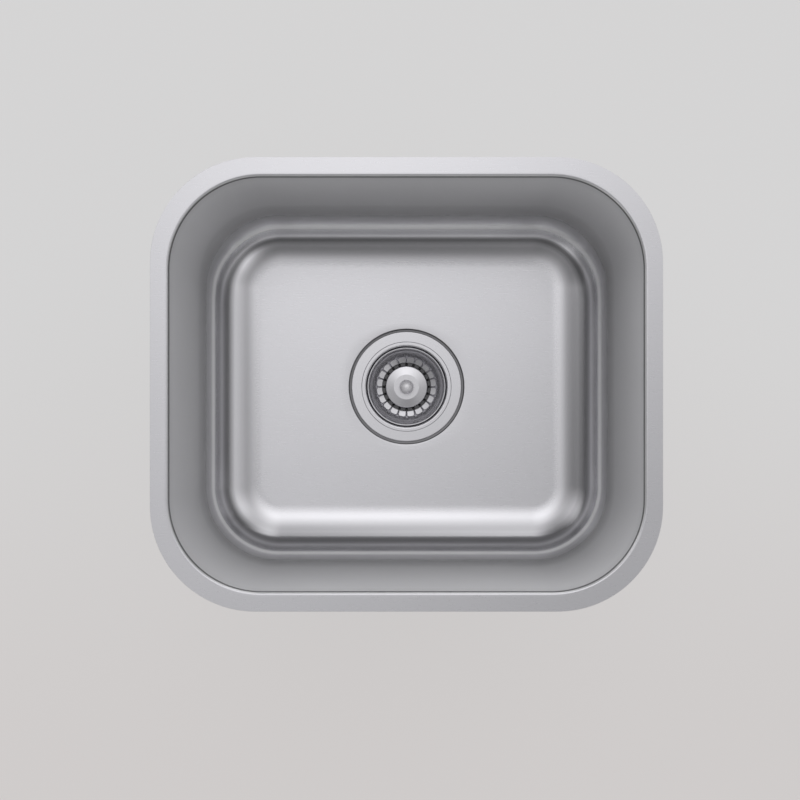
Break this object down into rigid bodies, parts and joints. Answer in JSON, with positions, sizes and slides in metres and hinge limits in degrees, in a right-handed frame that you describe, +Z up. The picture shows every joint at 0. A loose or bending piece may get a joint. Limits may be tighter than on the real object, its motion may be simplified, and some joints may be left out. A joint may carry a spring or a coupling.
{
  "type": "undermount kitchen sink",
  "caption": "Undermount kitchen sink: a drafted, round-cornered steel bowl with a flat flange and a lift-out basket strainer in its floor.",
  "frame": {"origin": "centre of the bowl's opening, on the flange's top face", "axes": "+Z up out of the bowl, +X along its longer side, +Y towards the back"},
  "size_m": [0.438, 0.388, 0.338],
  "materials": {
    "bowl_steel": "satin, brushed along its length, duller on the walls",
    "strainer_steel": "fine turned satin",
    "basket_steel": "pressed bright stainless steel",
    "polished_steel": "polished",
    "plain_steel": "plain pressed",
    "bush_metal": "nickel plated, dull",
    "nut_metal": "plated, matt",
    "plated_brass": "plated, bright",
    "putty": "soft putty, matt",
    "gasket_rubber": "matt black",
    "stopper_rubber": "moulded, satin black",
    "pad_rubber": "matt dark grey, fine grained",
    "washer_plastic": "plain white",
    "grip_plastic": "plain white",
    "fibre": "pressed fibre"
  },
  "bodies": {
    "sink": {"bowl": "bowl_steel", "pad_wall_front": "pad_rubber", "pad_wall_back": "pad_rubber", "pad_wall_left": "pad_rubber", "pad_wall_right": "pad_rubber", "pad_floor_left": "pad_rubber", "pad_floor_right": "pad_rubber", "strainer_body": "strainer_steel", "flange_seal": "putty", "drain_gasket": "gasket_rubber", "friction_washer": "fibre", "locknut": "nut_metal", "spider": "plain_steel", "post_grip": "grip_plastic", "outlet_washer": "washer_plastic", "slip_nut": "plated_brass", "tailpiece": "plated_brass"},
    "stopper": {"stopper": "stopper_rubber"},
    "basket": {"basket": "basket_steel", "dome_cap": "basket_steel", "knob": "polished_steel", "post": "polished_steel", "bush": "bush_metal", "backing_washer": "plain_steel", "post_nut": "plain_steel"}
  },
  "joints": [
    {"name": "basket_lift", "type": "slide", "parent": "sink", "child": "stopper", "axis": [0, 0, 1], "range_m": [0, 0.245]},
    {"name": "basket_turn", "type": "hinge", "parent": "stopper", "child": "basket", "pos_m": [0, 0, -0.2], "axis": [0, 0, 1], "continuous": true}
  ]
}
